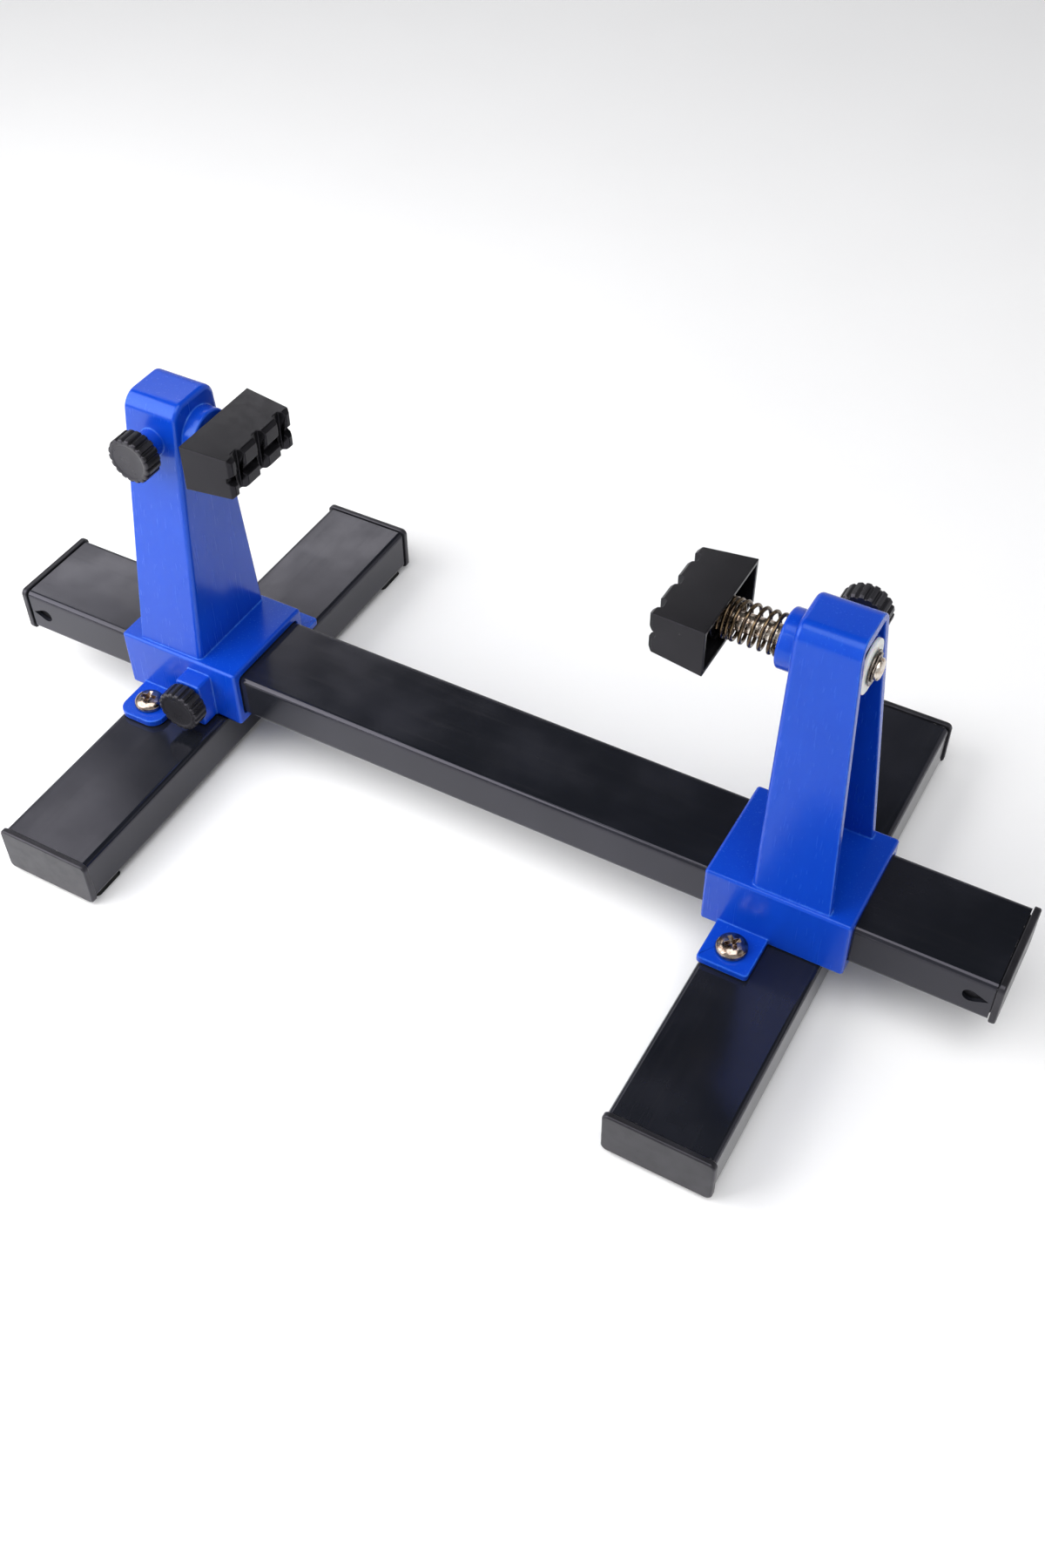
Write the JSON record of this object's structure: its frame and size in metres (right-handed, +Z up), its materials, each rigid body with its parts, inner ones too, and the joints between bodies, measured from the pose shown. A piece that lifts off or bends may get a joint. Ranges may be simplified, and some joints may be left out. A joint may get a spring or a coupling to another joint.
{
  "type": "pcb holder vise",
  "caption": "Board holder: sliding stands on a flat rail, each on a cross foot, with turning notched jaws, one of them sprung, and thumb-screw locks.",
  "frame": {"origin": "middle of the footprint at floor level, under the rail's middle", "axes": "+X along the rail towards the sprung jaw, +Y along the feet away from the front, +Z up"},
  "size_m": [0.3, 0.162, 0.1134],
  "materials": {
    "blue_plastic": "gloss moulded",
    "black_paint": "satin",
    "black_plastic": "fine matt moulded",
    "rubber": "matt",
    "nickel_steel": "nickel plated",
    "spring_steel": "bronze tinted wire",
    "white_nylon": "satin"
  },
  "bodies": {
    "rail": {"rail_tube": "black_paint", "rail_cap_left": "black_plastic", "rail_cap_right": "black_plastic"},
    "left_stand_body": {"left_stand": "blue_plastic", "left_foot_tube": "black_paint", "left_foot_cap_knob_side": "black_plastic", "left_foot_cap_far_side": "black_plastic", "left_pad_knob_side": "rubber", "left_pad_far_side": "rubber", "left_tab_screw_knob_side": "nickel_steel", "left_tab_screw_far_side": "nickel_steel"},
    "left_jaw_body": {"left_jaw": "black_plastic", "left_jaw_shaft": "nickel_steel", "left_nylon_washer": "white_nylon", "left_steel_washer": "nickel_steel"},
    "left_head_stud_body": {"left_head_stud": "nickel_steel"},
    "left_head_knob_body": {"left_head_knob": "black_plastic"},
    "left_base_stud_body": {"left_base_stud": "nickel_steel"},
    "left_base_knob_body": {"left_base_knob": "black_plastic"},
    "right_stand_body": {"right_stand": "blue_plastic", "right_foot_tube": "black_paint", "right_foot_cap_knob_side": "black_plastic", "right_foot_cap_far_side": "black_plastic", "right_pad_knob_side": "rubber", "right_pad_far_side": "rubber", "right_tab_screw_knob_side": "nickel_steel", "right_tab_screw_far_side": "nickel_steel", "right_spring": "spring_steel"},
    "right_plunger_body": {"right_nylon_washer": "white_nylon", "right_steel_washer": "nickel_steel"},
    "right_jaw_body": {"right_jaw": "black_plastic", "right_jaw_shaft": "nickel_steel"},
    "right_head_stud_body": {"right_head_stud": "nickel_steel"},
    "right_head_knob_body": {"right_head_knob": "black_plastic"},
    "right_base_stud_body": {"right_base_stud": "nickel_steel"},
    "right_base_knob_body": {"right_base_knob": "black_plastic"}
  },
  "joints": [
    {"name": "left_stand_slide", "type": "slide", "parent": "rail", "child": "left_stand_body", "axis": [1, 0, 0], "range_m": [-0.0375, 0.056]},
    {"name": "left_jaw_turn", "type": "hinge", "parent": "left_stand_body", "child": "left_jaw_body", "pos_m": [-0.0905, 0, 0.1023], "axis": [1, 0, 0], "continuous": true},
    {"name": "left_head_screw_travel", "type": "slide", "parent": "left_stand_body", "child": "left_head_stud_body", "axis": [0, -1, 0], "range_m": [0, 0.004]},
    {"name": "left_head_screw_turn", "type": "hinge", "parent": "left_head_stud_body", "child": "left_head_knob_body", "pos_m": [-0.0901, 0, 0.1023], "axis": [0, -1, 0], "range_deg": [0, 1800]},
    {"name": "left_base_screw_travel", "type": "slide", "parent": "left_stand_body", "child": "left_base_stud_body", "axis": [0, -1, 0], "range_m": [0, 0.004]},
    {"name": "left_base_screw_turn", "type": "hinge", "parent": "left_base_stud_body", "child": "left_base_knob_body", "pos_m": [-0.0835, 0, 0.0249], "axis": [0, -1, 0], "range_deg": [0, 1800]},
    {"name": "right_stand_slide", "type": "slide", "parent": "rail", "child": "right_stand_body", "axis": [1, 0, 0], "range_m": [-0.056, 0.0355]},
    {"name": "right_jaw_pull", "type": "slide", "parent": "right_stand_body", "child": "right_plunger_body", "axis": [1, 0, 0], "range_m": [0, 0.0055], "stiffness_N_per_m": 400, "springref_m": -0.012, "deforming": ["right_spring"]},
    {"name": "right_jaw_turn", "type": "hinge", "parent": "right_plunger_body", "child": "right_jaw_body", "pos_m": [0.0925, 0, 0.1023], "axis": [1, 0, 0], "continuous": true},
    {"name": "right_head_screw_travel", "type": "slide", "parent": "right_stand_body", "child": "right_head_stud_body", "axis": [0, 1, 0], "range_m": [0, 0.004]},
    {"name": "right_head_screw_turn", "type": "hinge", "parent": "right_head_stud_body", "child": "right_head_knob_body", "pos_m": [0.0921, 0, 0.1023], "axis": [0, 1, 0], "range_deg": [0, 1800]},
    {"name": "right_base_screw_travel", "type": "slide", "parent": "right_stand_body", "child": "right_base_stud_body", "axis": [0, 1, 0], "range_m": [0, 0.004]},
    {"name": "right_base_screw_turn", "type": "hinge", "parent": "right_base_stud_body", "child": "right_base_knob_body", "pos_m": [0.0855, 0, 0.0249], "axis": [0, 1, 0], "range_deg": [0, 1800]}
  ],
  "couplings": [
    {"joint": "left_head_screw_turn", "follows": "left_head_screw_travel", "rad_per_m": 7854},
    {"joint": "left_base_screw_turn", "follows": "left_base_screw_travel", "rad_per_m": 7854},
    {"joint": "right_head_screw_turn", "follows": "right_head_screw_travel", "rad_per_m": 7854},
    {"joint": "right_base_screw_turn", "follows": "right_base_screw_travel", "rad_per_m": 7854}
  ]
}
